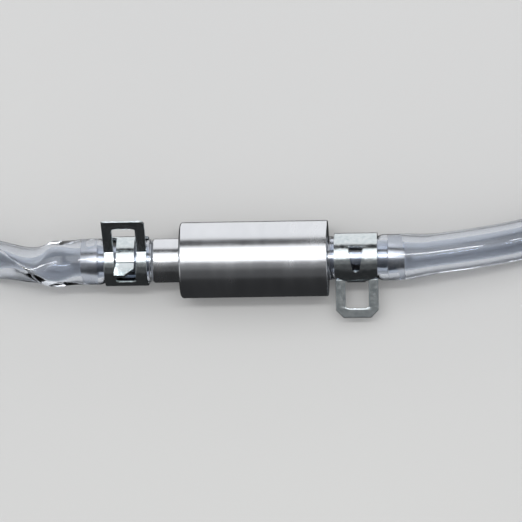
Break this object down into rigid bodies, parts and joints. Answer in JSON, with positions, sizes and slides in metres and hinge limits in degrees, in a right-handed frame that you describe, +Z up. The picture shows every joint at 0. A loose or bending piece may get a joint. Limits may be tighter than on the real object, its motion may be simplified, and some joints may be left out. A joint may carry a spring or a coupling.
{
  "type": "in-line fuel filter",
  "caption": "Small turned in-line filter body with a clear hose pushed on a barb at each end and held by spring band clamps with squeeze ears.",
  "frame": {"origin": "middle of the base of the box round the filter and its clamps, on the surface that they lie on; the hoses are left out of that box", "axes": "+X along the filter from its inlet to its outlet, +Z up from the surface that it lies on"},
  "size_m": [0.1845, 0.0291, 0.0173],
  "materials": {
    "turned_aluminium": "fine turned, bright",
    "zinc_plated_spring_steel": "bright zinc plate with a faint blue-green tint",
    "clear_pvc": "clear, glossy, slightly blue",
    "nitrile_rubber": "matt black",
    "stainless_steel": "drawn"
  },
  "bodies": {
    "filter": {"housing": "turned_aluminium", "inlet_cap": "turned_aluminium", "cap_o_ring": "nitrile_rubber", "element_gasket": "nitrile_rubber", "bypass_spring": "stainless_steel", "inlet_hose": "clear_pvc", "outlet_hose": "clear_pvc", "inlet_clamp_back": "zinc_plated_spring_steel", "outlet_clamp_back": "zinc_plated_spring_steel"},
    "element": {"element_collar": "turned_aluminium", "element_core": "stainless_steel", "filter_mesh": "stainless_steel", "inlet_ferrule": "stainless_steel", "outlet_ferrule": "stainless_steel", "element_end_cap": "turned_aluminium", "spring_seat": "stainless_steel"},
    "inlet_wide_ear_arm": {"inlet_clamp_wide_ear": "zinc_plated_spring_steel"},
    "inlet_tongue_arm": {"inlet_clamp_tongue_ear": "zinc_plated_spring_steel"},
    "outlet_wide_ear_arm": {"outlet_clamp_wide_ear": "zinc_plated_spring_steel"},
    "outlet_tongue_arm": {"outlet_clamp_tongue_ear": "zinc_plated_spring_steel"}
  },
  "joints": [
    {"name": "inlet_wide_ear_hinge", "type": "hinge", "parent": "filter", "child": "inlet_wide_ear_arm", "pos_m": [-0.02325, 0.00042, 0.00315], "axis": [1, 0, 0], "range_deg": [0, 7], "stiffness_Nm_per_rad": 4},
    {"name": "inlet_tongue_ear_hinge", "type": "hinge", "parent": "filter", "child": "inlet_tongue_arm", "pos_m": [-0.02325, 0.00202, 0.00286], "axis": [-1, 0, 0], "range_deg": [0, 7], "stiffness_Nm_per_rad": 4},
    {"name": "outlet_wide_ear_hinge", "type": "hinge", "parent": "filter", "child": "outlet_wide_ear_arm", "pos_m": [0.02265, 0.00602, 0.01005], "axis": [1, 0, 0], "range_deg": [0, 7], "stiffness_Nm_per_rad": 4},
    {"name": "outlet_tongue_ear_hinge", "type": "hinge", "parent": "filter", "child": "outlet_tongue_arm", "pos_m": [0.02265, 0.00493, 0.01126], "axis": [-1, 0, 0], "range_deg": [0, 7], "stiffness_Nm_per_rad": 4},
    {"name": "element_bypass", "type": "slide", "parent": "filter", "child": "element", "axis": [1, 0, 0], "range_m": [0, 0.0025], "stiffness_N_per_m": 1800, "deforming": ["bypass_spring"]}
  ]
}
